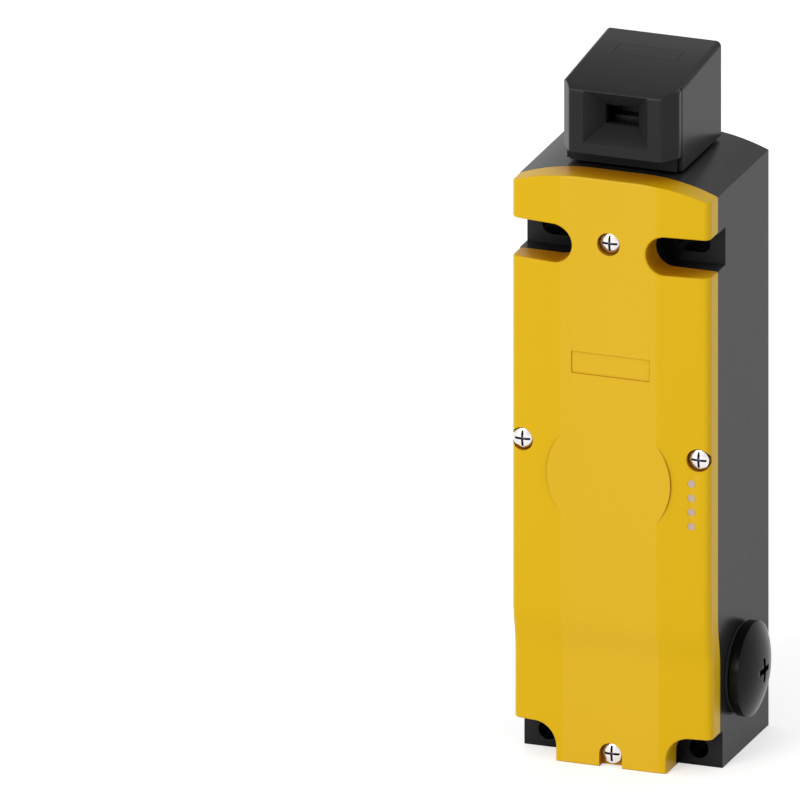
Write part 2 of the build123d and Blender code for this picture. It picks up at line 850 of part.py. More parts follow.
def cam_wheel():
    """Wheel that the actuator key turns; its spiral path lets the plunger rise evenly."""

    def at(angle, radius):
        swing = math.radians(angle)
        return (radius * math.sin(swing), -radius * math.cos(swing))

    steps = 8
    turned = [cam_turn_angle * step / steps for step in range(steps + 1)]
    spiral = [at(angle, cam_reach(angle)) for angle in turned]
    low_end = cam_turn_angle + cam_low_angle
    edges = [
        Spline(*spiral),
        ThreePointArc(at(cam_turn_angle, cam_low_radius),
                      at((cam_turn_angle + low_end) / 2, cam_low_radius),
                      at(low_end, cam_low_radius)),
        Line(at(low_end, cam_low_radius), at(low_end, cam_radius)),
        ThreePointArc(at(low_end, cam_radius), at((low_end + 360) / 2, cam_radius),
                      at(0, cam_radius)),
    ]
    wheel = sideways(make_face(Curve() + edges), cam_width / 2)
    wheel = Pos(0, head_y, cam_z) * wheel
    wheel -= block((-cam_width, cam_width),
                   (head_axis_depth + cam_radius - key_pocket_depth,
                    head_axis_depth + cam_radius + beyond),
                   (key_slot_z - key_pocket_height / 2, key_slot_z + key_pocket_height / 2))
    bore = cam_axle_radius + cam_axle_clearance
    return wheel - rod_x(head_axis_depth, cam_z, bore, -cam_width, cam_width)


def cam_axle():
    """Steel pin that carries the cam wheel between the head's cheeks."""
    reach = cam_axle_length / 2
    return rod_x(head_axis_depth, cam_z, cam_axle_radius, -reach, reach)


def plunger():
    """Steel plunger: domed tip under the cam, stem, and the shoulder on which its spring acts."""
    cone_z = plunger_tip_z - plunger_tip_radius
    stem_z = cone_z - plunger_tip_length
    body = Pos(0, head_y, cone_z) * Sphere(plunger_tip_radius)
    body &= rod_z(0, head_axis_depth, plunger_tip_radius, cone_z, plunger_tip_z)
    body += Pos(0, head_y, (cone_z + stem_z) / 2) * Cone(
        plunger_radius, plunger_tip_radius, plunger_tip_length)
    body += rod_z(0, head_axis_depth, plunger_radius, carrier_top_z(), stem_z)
    body += rod_z(0, head_axis_depth, shoulder_radius, spring_top_z,
                  spring_top_z + shoulder_thickness)
    return body


def plunger_guide():
    """Flanged bush in the bridge of the housing that guides the plunger."""
    bore = plunger_radius + plunger_clearance
    top = bridge_z + bridge_thickness
    body = rod_z(0, head_axis_depth, guide_radius, bridge_z, top)
    body += rod_z(0, head_axis_depth, guide_flange_radius, top, top + guide_flange_thickness)
    return body - rod_z(0, head_axis_depth, bore, bridge_z - beyond,
                        top + guide_flange_thickness + beyond)


def plunger_spring():
    """Spring on the contact block that lifts the plunger into the cam."""
    return coil_spring(0, head_axis_depth, block_top_z, spring_top_z, spring_radius,
                       spring_wire, spring_turns)


def carrier_top_z():
    """Top of the contact carrier with the plunger pressed down."""
    return block_top_z - block_wall - carrier_clearance - plunger_rise


def carrier_bottom_z():
    """Bottom of the contact carrier with the plunger pressed down."""
    return block_z + block_wall + carrier_clearance


def level_z(level):
    """Underside of a moving contact bridge with the plunger pressed down."""
    return block_z + block_wall + contact_first_height + level * contact_pitch


def contact_carrier():
    """Plastic bar that carries the three moving contact bridges."""
    half = carrier_width / 2
    depth = carrier_depth / 2
    body = block((-half, half), (head_axis_depth - depth, head_axis_depth + depth),
                 (carrier_bottom_z(), carrier_top_z()))
    for bridge in contact_bridges():
        body -= bridge
    return body


def contact_bridges():
    """Moving contact bridges, one for each level."""
    half = bridge_contact_length / 2
    depth = bridge_contact_width / 2
    return [block((-half, half), (head_axis_depth - depth, head_axis_depth + depth),
                  (level_z(level), level_z(level) + contact_thickness))
            for level in range(contact_levels)]


def fixed_contact_z(level):
    """Underside of a fixed contact: above the bridge, and below it for the lowest level."""
    if level == 0:
        return level_z(level) - contact_gap - contact_thickness
    return level_z(level) + contact_thickness + plunger_rise + contact_gap


def fixed_contacts():
    """Fixed contacts, each with a strip through the block's wall and a clamp body outside."""
    strips = []
    outer = block_width / 2 + clamp_gap
    depth = bridge_contact_width / 2
    for level in range(contact_levels):
        z = fixed_contact_z(level)
        middle = z + contact_thickness / 2
        for side in (-1, 1):
            reach = sorted((side * contact_inner_x, side * (outer + beyond)))
            strip = block(reach, (head_axis_depth - depth, head_axis_depth + depth),
                          (z, z + contact_thickness))
            shell = sorted((side * outer, side * (outer + clamp_width)))
            strip += block(shell, (head_axis_depth - depth, head_axis_depth - depth + clamp_depth),
                           (middle - clamp_height / 2, middle + clamp_height / 2))
            screw_x = side * (outer + clamp_width / 2)
            strip -= rod_y(screw_x, middle, clamp_screw_radius, clamp_front() - clamp_screw_length,
                           clamp_front() + beyond)
            strips.append(strip)
    return strips


def clamp_front():
    """Depth of the front face of the contact clamps."""
    return head_axis_depth - bridge_contact_width / 2 + clamp_depth


def slotted_screw(x, z, seat, length):
    """Small slotted screw whose head rests on a seat."""
    body = rod_y(x, z, clamp_screw_radius, seat - length, seat)
    body += rod_y(x, z, clamp_screw_head_radius, seat, seat + clamp_screw_head_height)
    top = seat + clamp_screw_head_height
    return body - block((x - clamp_screw_head_radius, x + clamp_screw_head_radius),
                        (top - clamp_screw_slot, top + beyond),
                        (z - clamp_screw_slot / 2, z + clamp_screw_slot / 2))


def contact_screws():
    """Clamping screws of the fixed contacts."""
    screws = []
    x = block_width / 2 + clamp_gap + clamp_width / 2
    for level in range(contact_levels):
        z = fixed_contact_z(level) + contact_thickness / 2
        for side in (-1, 1):
            screws.append(slotted_screw(side * x, z, clamp_front(), clamp_screw_length))
    return screws


def contact_block():
    """Housing of the position contacts, with a channel for the carrier and slits for strips."""
    half = block_width / 2
    body = block((-half, half), (block_rear, block_front), (block_z, block_top_z))
    body -= block((-half + block_wall, half - block_wall),
                  (block_rear + block_wall, block_front - block_wall),
                  (block_z + block_wall, block_top_z - block_wall))
    stem = plunger_radius + carrier_clearance
    body -= rod_z(0, head_axis_depth, stem, block_z - beyond, block_top_z + beyond)
    for contact in fixed_contacts():
        body -= contact
    for x, z, seat in fixing_places():
        body += rod_y(x, z, fixing_screw_head_radius, seat, block_front)
        body -= rod_y(x, z, fixing_screw_radius, seat - beyond, block_front + beyond)
    return body


def block_screws():
    """Screws that hold the contact block on the rear wall."""
    screws = []
    for x, z, seat in fixing_places():
        length = block_front - rear_wall - screw_tip_gap
        screws.append(slotted_screw(x, z, block_front, length))
    return screws


def lock_collar():
    """Steel collar at the plunger's lower end, with the cone that the lock slider passes."""
    small = collar_radius - lock_travel
    cone_top = collar_z + plunger_rise
    body = Pos(0, head_y, (collar_z + cone_top) / 2) * Cone(small, collar_radius, plunger_rise)
    body += rod_z(0, head_axis_depth, collar_radius, cone_top, cone_top + collar_rim)
    body += rod_z(0, head_axis_depth, plunger_radius, cone_top, carrier_bottom_z())
    return body


def lock_slider():
    """Slider with a ramped nose, a slanted slot for the cross pin and the monitor's finger."""
    top = collar_z + plunger_rise
    tip = collar_radius - lock_travel + lock_gap
    nose_low = collar_z - lock_nose_drop
    rear = tip + lock_travel + lock_nose_length
    side_view = make_face(Polyline(
        (-tip, nose_low), (-tip, collar_z), (-tip - lock_travel, top), (-rear, top),
        (-rear, nose_low), close=True))
    half = lock_nose_width / 2
    nose = Pos(0, head_y, 0) * extrude(Plane.XZ * side_view, amount=half, both=True)
    thin = lock_plate_thickness / 2
    low = bottom_z + cross_pin_height - lock_travel
    depths = (head_axis_depth - thin, head_axis_depth + thin)
    plate = block((lock_tail_x, -tip - 2 * lock_travel), depths, (low, low + lock_plate_height))
    plate += block((lock_tail_x, -rear + lock_plate_overlap), depths, (low, top))
    return nose + plate - pin_slot() + monitor_arm(nose_low, -rear)


def pin_slot():
    """Slanted slot in which the armature's cross pin drives the slider."""
    z = bottom_z + cross_pin_height
    radius = cross_pin_radius + cross_pin_clearance
    start = (solenoid_x, z)
    end = (solenoid_x - lock_travel, z + lock_travel)
    slot = SlotCenterToCenter(lock_travel * math.sqrt(2), 2 * radius)
    middle = Pos((start[0] + end[0]) / 2, (start[1] + end[1]) / 2) * Rot(0, 0, 135)
    return forward(middle * slot, head_axis_depth - lock_nose_width,
                   head_axis_depth + lock_nose_width)


def monitor_arm(z, rear_x):
    """Arm that runs past the collar and ends in the finger of the monitor contact."""
    inner = head_axis_depth - collar_radius - lock_arm_clearance
    depths = (inner - lock_arm_width, inner)
    arm = block((rear_x, lock_arm_reach), depths, (z, z + lock_arm_height))
    arm += block((rear_x, rear_x + lock_arm_width), (inner - beyond, head_axis_depth),
                 (z, z + lock_arm_height))
    arm += block((lock_arm_reach - lock_arm_width, lock_arm_reach),
                 (depths[0], head_axis_depth + lock_arm_width / 2), (z, z + lock_arm_height))
    arm += block((lock_arm_reach - lock_arm_width, lock_arm_reach),
                 (head_axis_depth - lock_arm_width / 2, head_axis_depth + lock_arm_width / 2),
                 (finger_z, z + beyond))
    return arm


def monitor_bridge():
    """Moving bridge of the monitor contact, carried by the slider's finger."""
    half = monitor_bridge_length / 2
    return block((lock_arm_reach, lock_arm_reach + contact_thickness),
                 (head_axis_depth - half, head_axis_depth + half),
                 (finger_z, finger_z + monitor_bridge_height))


def monitor_contacts():
    """Two posts that the monitor bridge reaches when the lock is in."""
    x = lock_arm_reach + contact_thickness + lock_travel + contact_gap
    z = monitor_z + monitor_wall
    end = monitor_bridge_length / 2
    top = finger_z + monitor_bridge_height
    return [block((x, x + contact_thickness),
                  sorted((head_axis_depth + side * end,
                          head_axis_depth + side * (end - monitor_post_width))), (z, top))
            for side in (-1, 1)]


def monitor_block():
    """Open-topped housing of the monitor contact."""
    right = monitor_left + monitor_width
    front = monitor_rear_depth + monitor_depth
    top = monitor_z + monitor_height
    body = block((monitor_left, right), (monitor_rear_depth, front), (monitor_z, top))
    return body - block((monitor_left + monitor_wall, right - monitor_wall),
                        (monitor_rear_depth + monitor_wall, front - monitor_wall),
                        (monitor_z + monitor_wall, top + beyond))


def armature():
    """Soft iron armature: round bar, forked at the top round the lock slider."""
    low = bottom_z + armature_bottom_height
    fork_z = bottom_z + fork_bottom_height
    pin_z = bottom_z + cross_pin_height
    top = pin_z + cross_pin_radius + fork_end
    body = rod_z(solenoid_x, head_axis_depth, armature_radius, low, top)
    gap = lock_plate_thickness / 2 + fork_gap
    body -= block((solenoid_x - armature_radius, solenoid_x + armature_radius),
                  (head_axis_depth - gap, head_axis_depth + gap), (fork_z, top + beyond))
    body -= rod_z(solenoid_x, head_axis_depth, return_spring_bore, low - beyond,
                  low + return_spring_depth)
    return body - cross_pin()


def cross_pin():
    """Pin across the armature's fork, in the slanted slot of the slider."""
    reach = math.sqrt(armature_radius ** 2 - cross_pin_radius ** 2)
    return rod_y(solenoid_x, bottom_z + cross_pin_height, cross_pin_radius,
                 head_axis_depth - reach, head_axis_depth + reach)


def pole_piece():
    """Fixed iron core under the armature, with the spring's lower seat."""
    low = coil_z - yoke_thickness
    top = bottom_z + armature_bottom_height - magnet_gap
    body = rod_z(solenoid_x, head_axis_depth, armature_radius, low, top)
    return body - rod_z(solenoid_x, head_axis_depth, return_spring_bore, coil_z, top + beyond)


def armature_spring():
    """Spring between pole piece and armature that drives the lock in."""
    low = coil_z
    high = bottom_z + armature_bottom_height + return_spring_depth
    return coil_spring(solenoid_x, head_axis_depth, low, high, return_spring_radius,
                       return_spring_wire, return_spring_turns)


def bobbin():
    """Plastic bobbin with two flanges, in which the armature slides."""
    bore = armature_radius + armature_clearance
    tube = bore + bobbin_wall
    body = rod_z(solenoid_x, head_axis_depth, tube, coil_z, coil_top_z)
    for z in (coil_z, coil_top_z - bobbin_flange):
        body += rod_z(solenoid_x, head_axis_depth, coil_radius, z, z + bobbin_flange)
    body -= rod_z(solenoid_x, head_axis_depth, bore, coil_z - beyond, coil_top_z + beyond)
    return body


def winding():
    """Copper winding between the bobbin's flanges, wrapped in tape."""
    inner = armature_radius + armature_clearance + bobbin_wall
    return tube_z(solenoid_x, head_axis_depth, coil_radius - winding_inset, inner,
                  coil_z + bobbin_flange, coil_top_z - bobbin_flange)


def yoke():
    """Bent steel frame round the coil: lower plate, rear plate and upper plate."""
    half = yoke_width / 2
    rear = head_axis_depth - coil_radius - yoke_thickness
    front = head_axis_depth + coil_radius
    low = coil_z - yoke_thickness
    high = coil_top_z + yoke_thickness
    x_range = (solenoid_x - half, solenoid_x + half)
    body = block(x_range, (rear, front), (low, coil_z))
    body += block(x_range, (rear, front), (coil_top_z, high))
    body += block(x_range, (rear, rear + yoke_thickness), (low, high))
    body -= rod_z(solenoid_x, head_axis_depth, armature_radius, low - beyond, coil_z + beyond)
    hole = armature_radius + fork_gap
    return body - rod_z(solenoid_x, head_axis_depth, hole, coil_top_z - beyond, high + beyond)


def board_rear():
    """Depth of the circuit board's rear face."""
    return base_depth - board_thickness - diode_height


def board_rail_places():
    """Undersides of the two rails that carry the circuit board."""
    return (board_z, board_top_z - board_rail_height)


def board_screw_places():
    """Where the circuit board is screwed to its rails: X and Z."""
    x = board_right - board_width + fixing_screw_head_radius + fixing_screw_margin
    return [(x, z + board_rail_height / 2) for z in board_rail_places()]


def circuit_board():
    """Small circuit board behind the light guides."""
    body = block((board_right - board_width, board_right),
                 (board_rear(), board_rear() + board_thickness), (board_z, board_top_z))
    for x, z in board_screw_places():
        body -= rod_y(x, z, fixing_screw_radius, 0, base_depth)
    return body


def board_screws():
    """Two small screws of the circuit board."""
    seat = board_rear() + board_thickness
    screws = []
    for x, z in board_screw_places():
        length = board_thickness + board_screw_grip
        body = rod_y(x, z, fixing_screw_radius, seat - length, seat)
        body += rod_y(x, z, board_screw_head_radius, seat, seat + board_screw_head_height)
        screws.append(body)
    return screws


def status_diodes():
    """Four light-emitting diodes on the board, one behind each light guide."""
    seat = board_rear() + board_thickness
    half = diode_size / 2
    return [block((lamp_x - half, lamp_x + half), (seat, seat + diode_height),
                  (z - half, z + half)) for z in lamp_places()]


def terminal_places():
    """Middle of each terminal, from left to right."""
    first = -(terminal_count - 1) * terminal_pitch / 2
    return [first + index * terminal_pitch for index in range(terminal_count)]


def terminal_block():
    """Plastic block with a chamber for each terminal clamp."""
    half = terminal_count * terminal_pitch / 2
    z = bottom_z + terminal_bottom_height
    front = terminal_rear_depth + terminal_depth
    body = block((-half, half), (terminal_rear_depth, front), (z, z + terminal_height))
    for clamp in clamp_blocks():
        body -= clamp
    inner = terminal_pitch / 2 - terminal_wall
    for x in terminal_places():
        body -= block((x - inner, x + inner),
                      (terminal_rear_depth + terminal_depth / 2, front + beyond),
                      (z + terminal_wall, z + terminal_height - terminal_wall))
        body -= block((x - inner, x + inner),
                      (terminal_rear_depth + terminal_depth / 2, front - terminal_wall),
                      (z - beyond, z + terminal_wall + beyond))
    return body


def clamp_blocks():
    """Plain outer forms of the terminal clamps."""
    inner = terminal_pitch / 2 - terminal_wall
    z = bottom_z + terminal_bottom_height
    middle = terminal_rear_depth + terminal_depth / 2
    return [block((x - inner, x + inner), (middle - terminal_clamp_depth, middle),
                  (z + terminal_wall, z + terminal_height - terminal_wall))
            for x in terminal_places()]


def terminal_screw_z():
    """Height of the terminal screws' axes."""
    return bottom_z + terminal_bottom_height + terminal_height / 2


def terminal_clamps():
    """Brass clamps in the chambers of the terminal block."""
    middle = terminal_rear_depth + terminal_depth / 2
    clamps = []
    for x, clamp in zip(terminal_places(), clamp_blocks()):
        clamps.append(clamp - rod_y(x, terminal_screw_z(), clamp_screw_radius,
                                    middle - terminal_screw_length, middle + beyond))
    return clamps


def terminal_screws():
    """Screws of the terminal clamps."""
    seat = terminal_rear_depth + terminal_depth / 2
    return [slotted_screw(x, terminal_screw_z(), seat, terminal_screw_length)
            for x in terminal_places()]


def earth_screw():
    """Earth screw on its boss in the wiring space."""
    seat = rear_wall + earth_boss_depth
    return slotted_screw(earth_screw_x, bottom_z + earth_screw_height, seat, earth_boss_depth)


pieces = {
    "base_housing": base_housing,
    "front_cover": front_cover,
    "cover_gasket": cover_gasket,
    "cover_screws": cover_screws,
    "light_guides": light_guides,
    "right_plug": right_plug,
    "plug_seal": plug_seal,
    "head_housing": head_housing,
    "head_bezel": head_bezel,
    "head_cap": head_cap,
    "neck_seal": lambda: seal_ring(neck_radius),
    "retaining_ring": retaining_ring,
    "cam_wheel": cam_wheel,
    "cam_axle": cam_axle,
    "plunger": plunger,
    "plunger_guide": plunger_guide,
    "plunger_spring": plunger_spring,
    "contact_block": contact_block,
    "contact_carrier": contact_carrier,
    "contact_bridges": contact_bridges,
    "fixed_contacts": fixed_contacts,
    "contact_screws": contact_screws,
    "block_screws": block_screws,
    "lock_collar": lock_collar,
    "lock_slider": lock_slider,
    "monitor_bridge": monitor_bridge,
    "monitor_contacts": monitor_contacts,
    "monitor_block": monitor_block,
    "armature": armature,
    "cross_pin": cross_pin,
    "armature_spring": armature_spring,
    "pole_piece": pole_piece,
    "bobbin": bobbin,
    "winding": winding,
    "yoke": yoke,
    "circuit_board": circuit_board,
    "board_screws": board_screws,
    "status_diodes": status_diodes,
    "terminal_block": terminal_block,
    "terminal_clamps": terminal_clamps,
    "terminal_screws": terminal_screws,
    "earth_screw": earth_screw,
}

os.makedirs("parts", exist_ok=True)
for name, make in pieces.items():
    shape = make()
    if isinstance(shape, list):
        shape = Compound(children=shape)
    export_step(shape, f"parts/{name}.step")
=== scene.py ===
import json
import math

import bmesh
import bpy
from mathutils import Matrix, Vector


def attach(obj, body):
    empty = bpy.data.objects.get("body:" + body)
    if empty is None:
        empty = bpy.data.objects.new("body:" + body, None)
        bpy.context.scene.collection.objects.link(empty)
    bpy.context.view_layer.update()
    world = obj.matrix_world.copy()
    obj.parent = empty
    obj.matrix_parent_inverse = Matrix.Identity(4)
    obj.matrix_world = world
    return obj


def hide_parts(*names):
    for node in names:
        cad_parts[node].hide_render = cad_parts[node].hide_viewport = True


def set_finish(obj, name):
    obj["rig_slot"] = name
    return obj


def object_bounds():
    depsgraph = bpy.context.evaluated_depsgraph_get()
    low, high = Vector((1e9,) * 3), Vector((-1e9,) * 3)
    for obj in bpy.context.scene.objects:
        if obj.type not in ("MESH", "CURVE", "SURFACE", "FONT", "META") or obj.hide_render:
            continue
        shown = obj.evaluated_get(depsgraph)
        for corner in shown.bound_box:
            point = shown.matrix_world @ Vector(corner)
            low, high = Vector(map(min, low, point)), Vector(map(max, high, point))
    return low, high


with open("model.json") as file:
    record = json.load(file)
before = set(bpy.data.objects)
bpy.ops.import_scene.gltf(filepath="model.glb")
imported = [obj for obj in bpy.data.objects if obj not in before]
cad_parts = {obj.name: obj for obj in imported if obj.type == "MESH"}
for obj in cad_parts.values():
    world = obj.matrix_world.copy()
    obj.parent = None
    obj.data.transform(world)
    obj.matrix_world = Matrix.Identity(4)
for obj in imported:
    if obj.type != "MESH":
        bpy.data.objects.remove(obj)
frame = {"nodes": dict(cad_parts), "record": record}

cad_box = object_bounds()
floor_z = cad_box[0].z
middle_z = (cad_box[0].z + cad_box[1].z) / 2

# The view of the photograph: a parallel projection from the right and above.
# All lengths here and below are in metres, as in the frame.
view_azimuth = math.radians(20.0)
view_elevation = math.radians(20.0)
view_width = 0.2048
camera_distance = 1.0
aim_right = -0.0690
aim_up = 0.0800

# One soft box in front on the left, and even light from all round
key_place = (-0.68, -1.8, 0.95)
key_size = 0.9
key_power = 17.0
surroundings_light = 0.6
surroundings_seen = 1.0
floor_half = 6.0
floor_glow = 0.55
floor_roughness = 0.8

# Broken edges: their width on each piece, and the angle from which an edge is broken
cover_edge_width = 0.0003
edge_widths = {
    "base_housing": 0.0002,
    "head_housing": 0.0002,
    "head_bezel": 0.00025,
    "right_plug": 0.0002,
    "cover_screws": 0.0001,
}
edge_segments = 2
sharp_angle = math.radians(32.0)
weld_reach = 0.000002

# The head's roof: where its crown starts, and how fast it bends, for each metre squared
roof_rear_y = -0.008
roof_crown = 4.5

# The cover's foot: the recess of its lowest screw, open downwards in the photograph
recess_half_width = 0.0031
recess_middle_z = -0.001
recess_seat_y = -0.0415
cut_overshoot = 0.002

# The name field, raised in the solid and sunk in the photograph
field_rise = 0.00025
field_sink = 0.0002

# Patterns, in blobs for each metre, and the values between which most of a noise lies
fine_grain = 2600.0
gloss_patches = 500.0
noise_low = 0.3
noise_high = 0.7

# Rays for each point that looks how open its surroundings are, for the painted shade
openness_samples = 8


def material_with(name):
    """A new material with its node tree and its main shader."""
    material = bpy.data.materials.new(name)
    material.use_nodes = True
    tree = material.node_tree
    return material, tree, tree.nodes["Principled BSDF"]


def feed(tree, socket, value):
    """Link a socket to another one, or set its own value."""
    if isinstance(value, bpy.types.NodeSocket):
        tree.links.new(value, socket)
    else:
        socket.default_value = value


def calculate(tree, operation, first, second=0.0):
    """A value worked out from one or two others."""
    node = tree.nodes.new("ShaderNodeMath")
    node.operation = operation
    feed(tree, node.inputs[0], first)
    feed(tree, node.inputs[1], second)
    return node.outputs["Value"]


def mixed(tree, kind, share, first, second):
    """Two values of one kind, mixed by a share from 0 to 1."""
    node = tree.nodes.new("ShaderNodeMix")
    node.data_type = kind
    feed(tree, node.inputs["Factor"], share)
    feed(tree, node.inputs["A"], first)
    feed(tree, node.inputs["B"], second)
    return node.outputs["Result"]


def blend_colours(tree, share, first, second):
    """Two plain colours mixed by a share from 0 to 1."""
    return mixed(tree, "RGBA", share, (*first, 1), (*second, 1))


def scaled(colour, factor):
    """A colour made lighter or darker."""
    return tuple(min(1.0, part * factor) for part in colour)


def clouded(tree, share, colour, darkest, lightest):
    """A colour that runs between two shades of itself."""
    return blend_colours(tree, share, scaled(colour, darkest), scaled(colour, lightest))


def place_socket(tree, stretch=(1, 1, 1)):
    """Coordinates fixed to the piece, stretched along its axes."""
    coordinates = tree.nodes.new("ShaderNodeTexCoord")
    mapping = tree.nodes.new("ShaderNodeMapping")
    mapping.inputs["Scale"].default_value = stretch
    tree.links.new(coordinates.outputs["Object"], mapping.inputs["Vector"])
    return mapping.outputs["Vector"]


def part_along(tree, vector, axis):
    """One axis of a vector."""
    split = tree.nodes.new("ShaderNodeSeparateXYZ")
    tree.links.new(vector, split.inputs["Vector"])
    return split.outputs[axis]


def noise(tree, scale, detail=3.0, stretch=(1, 1, 1)):
    """Noise with a given number of blobs for each metre."""
    texture = tree.nodes.new("ShaderNodeTexNoise")
    texture.inputs["Scale"].default_value = scale
    texture.inputs["Detail"].default_value = detail
    tree.links.new(place_socket(tree, stretch), texture.inputs["Vector"])
    return texture.outputs["Fac"]


def spread(tree, value, low=0.0, high=1.0):
    """A noise value spread between two limits."""
    node = tree.nodes.new("ShaderNodeMapRange")
    node.inputs["From Min"].default_value = noise_low
    node.inputs["From Max"].default_value = noise_high
    node.inputs["To Min"].default_value = low
    node.inputs["To Max"].default_value = high
    tree.links.new(value, node.inputs["Value"])
    return node.outputs["Result"]


def limit(tree, value, low, high):
    """A value eased from 0 at a low limit to 1 at a high one."""
    node = tree.nodes.new("ShaderNodeMapRange")
    node.interpolation_type = "SMOOTHSTEP"
    node.inputs["From Min"].default_value = low
    node.inputs["From Max"].default_value = high
    tree.links.new(value, node.inputs["Value"])
    return node.outputs["Result"]


def bump(tree, height, depth, under=None):
    """A normal from a height, and the depth in metres that a height of 1 stands for."""
    node = tree.nodes.new("ShaderNodeBump")
    node.inputs["Distance"].default_value = depth
    tree.links.new(height, node.inputs["Height"])
    if under is not None:
        tree.links.new(under, node.inputs["Normal"])
    return node.outputs["Normal"]


def openness(tree, reach, own_piece_only=False):
    """How open to its surroundings a point is, from 0 in a corner to 1 on a free face; the mask for
    painted shade.
    """
    node = tree.nodes.new("ShaderNodeAmbientOcclusion")
    node.samples = openness_samples
    node.only_local = own_piece_only
    node.inputs["Distance"].default_value = reach
    return node.outputs["AO"]


def facing_share(tree, axis, low, high):
    """How far a face of the piece looks along one of its axes, from 0 to 1."""
    coordinates = tree.nodes.new("ShaderNodeTexCoord")
    along = part_along(tree, coordinates.outputs["Normal"], axis)
    return limit(tree, calculate(tree, "ABSOLUTE", along), low, high)


def finish_surface(tree, shader, hue, roughness, normal):
    """Join a surface's colour, roughness and fine relief to its shader."""
    tree.links.new(hue, shader.inputs["Base Color"])
    tree.links.new(roughness, shader.inputs["Roughness"])
    tree.links.new(normal, shader.inputs["Normal"])


def moulded(name, colour, roughness, grain=fine_grain, grain_depth=0.000002, shine=0.5,
            painted_shade_reach=0.0):
    """Moulded plastic: slight cloudiness, a fine grain, uneven gloss and painted shade that darkens
    its corners.
    """
    material, tree, shader = material_with(name)
    shader.inputs["Specular IOR Level"].default_value = shine
    cloud = spread(tree, noise(tree, 28.0, detail=4.0))
    hue = clouded(tree, cloud, colour, darkest=0.96, lightest=1.04)
    # Painted shade: where walls or neighbouring pieces close in, the colour falls to under a tenth
    # of itself.
    if painted_shade_reach:
        free = limit(tree, openness(tree, painted_shade_reach), low=0.15, high=0.6)
        corner = clouded(tree, cloud, colour, darkest=0.07, lightest=0.08)
        hue = mixed(tree, "RGBA", free, corner, hue)
    patches = noise(tree, gloss_patches)
    sheen = spread(tree, patches, low=roughness - 0.015, high=roughness + 0.015)
    relief = bump(tree, noise(tree, grain, detail=2.0), depth=grain_depth)
    finish_surface(tree, shader, hue, sheen, relief)
    return material


def head_plastic(name, colour):
    """Black moulding with a slightly crowned roof that falls towards the front."""
    material = moulded(name, colour, roughness=0.22, shine=0.085, painted_shade_reach=0.012)
    tree = material.node_tree
    shader = tree.nodes["Principled BSDF"]
    grain = shader.inputs["Normal"].links[0].from_socket
    depth = part_along(tree, place_socket(tree), "Y")
    forward = calculate(tree, "MAXIMUM", calculate(tree, "SUBTRACT", roof_rear_y, depth))
    fall = calculate(tree, "MULTIPLY", calculate(tree, "POWER", forward, 2.0), -roof_crown)
    crowned = bump(tree, fall, depth=1.0, under=grain)
    roof = facing_share(tree, "Z", low=0.9, high=0.98)
    tree.links.new(mixed(tree, "VECTOR", roof, grain, crowned), shader.inputs["Normal"])
    return material


def cover_plastic(name):
    """Yellow moulding with a paler, bluer middle panel as painted reflection, and painted shade in
    deep orange where walls close in and under the head.
    """
    material, tree, shader = material_with(name)
    shader.inputs["Specular IOR Level"].default_value = 0.2
    flow = spread(tree, noise(tree, 22.0, stretch=(1, 1, 0.35)))
    # Painted reflection: the flat middle panel is paler and bluer than the side panels, as if it
    # caught brighter surroundings.
    side_yellow = blend_colours(tree, flow, (0.785, 0.475, 0.0), (0.8, 0.488, 0.001))
    middle_painted_reflection = blend_colours(tree, flow, (0.8, 0.488, 0.013), (0.815, 0.498, 0.017))
    # Painted shade: deep orange where the cover's own walls close in, and on upward faces closed in
    # by the head or other pieces above.
    painted_shade_orange = blend_colours(tree, flow, (0.5, 0.2, 0.0), (0.52, 0.21, 0.0))
    painted_reflection_mask = facing_share(tree, "X", low=0.03, high=0.1)
    panels_painted_reflection = mixed(tree, "RGBA", painted_reflection_mask, middle_painted_reflection, side_yellow)
    upward = facing_share(tree, "Z", low=0.4, high=0.8)
    under_head_painted_shadow = mixed(tree, "FLOAT", upward, 1.0, openness(tree, reach=0.012))
    own_walls = openness(tree, reach=0.014, own_piece_only=True)
    free = limit(tree, calculate(tree, "MINIMUM", own_walls, under_head_painted_shadow), low=0.62, high=0.98)
    hue = mixed(tree, "RGBA", free, painted_shade_orange, panels_painted_reflection)
    sheen = spread(tree, noise(tree, gloss_patches), low=0.36, high=0.4)
    relief = bump(tree, noise(tree, fine_grain, detail=2.0), depth=0.000004)
    finish_surface(tree, shader, hue, sheen, relief)
    return material


def metal(name, colour, roughness, stretch=(1, 1, 1)):
    """Metal with fine marks from its making and uneven gloss."""
    material, tree, shader = material_with(name)
    shader.inputs["Metallic"].default_value = 1.0
    cloud = spread(tree, noise(tree, 120.0, detail=4.0))
    hue = clouded(tree, cloud, colour, darkest=0.93, lightest=1.04)
    marks = noise(tree, 900.0, stretch=stretch)
    sheen = spread(tree, marks, low=roughness - 0.06, high=roughness + 0.08)
    finish_surface(tree, shader, hue, sheen, bump(tree, marks, depth=0.000004))
    return material


def plated_screw(name):
    """Bright nickel on the domed head, with painted shade near black in the cross recess and down
    the flank.
    """
    material, tree, shader = material_with(name)
    shader.inputs["Metallic"].default_value = 1.0
    # Painted shade: the nickel turns near black where the head closes in on itself and where its
    # faces turn away from the front.
    free = limit(tree, openness(tree, reach=0.0015, own_piece_only=True), low=0.6, high=0.95)
    painted_lit_share = calculate(tree, "MULTIPLY", free, facing_share(tree, "Y", low=0.35, high=0.8))
    hue = blend_colours(tree, painted_lit_share, (0.03, 0.028, 0.06), (0.78, 0.75, 0.74))
    marks = noise(tree, 1400.0)
    sheen = spread(tree, marks, low=0.16, high=0.3)
    finish_surface(tree, shader, hue, sheen, bump(tree, marks, depth=0.000003))
    return material


